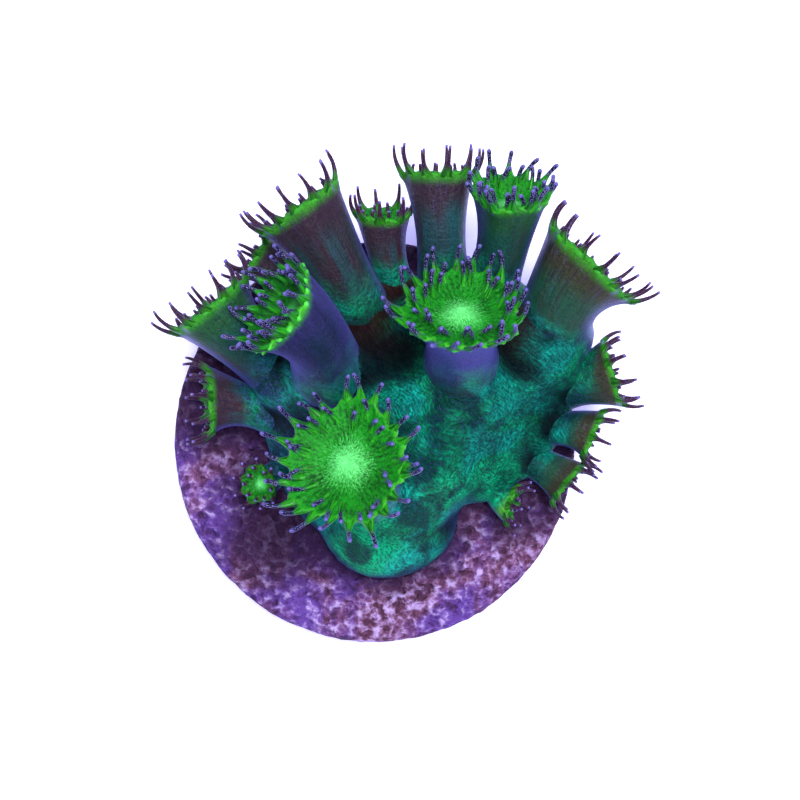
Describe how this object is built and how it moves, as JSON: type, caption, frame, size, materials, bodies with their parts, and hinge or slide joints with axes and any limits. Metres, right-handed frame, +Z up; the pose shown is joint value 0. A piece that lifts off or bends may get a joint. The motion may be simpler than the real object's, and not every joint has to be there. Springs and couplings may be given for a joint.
{
  "type": "scroll coral",
  "caption": "Small coral colony on a round frag disc: a fleshy mound from which trumpet-shaped polyps with tentacle fringes radiate.",
  "frame": {"origin": "centre of the frag disc's flat underside", "axes": "+Z up out of the disc's top, +Y towards the back of the colony where most polyps lean, +X towards its right"},
  "size_m": [0.0301, 0.0307, 0.0185],
  "materials": {
    "disc": "rough unglazed ceramic crusted with pink and purple coralline algae",
    "mound": "moist satin flesh, teal green with fine fibrous streaks",
    "polyp": "moist satin flesh, lavender stalk, bright green oral disc, dark tentacles with pale tips"
  },
  "bodies": {
    "root": {"frag_disc": "disc", "coral_mound": "mound", "polyp_front": "polyp", "polyp_centre": "polyp", "polyp_left_inner": "polyp", "polyp_left_outer": "polyp", "polyp_back_left": "polyp", "polyp_back_small": "polyp", "polyp_back": "polyp", "polyp_back_right": "polyp", "polyp_right": "polyp", "polyp_right_side": "polyp", "polyp_right_low": "polyp", "polyp_right_front": "polyp", "polyp_foot_right": "polyp", "polyp_left_low": "polyp", "polyp_foot_left": "polyp", "polyp_left_back": "polyp"}
  },
  "joints": []
}
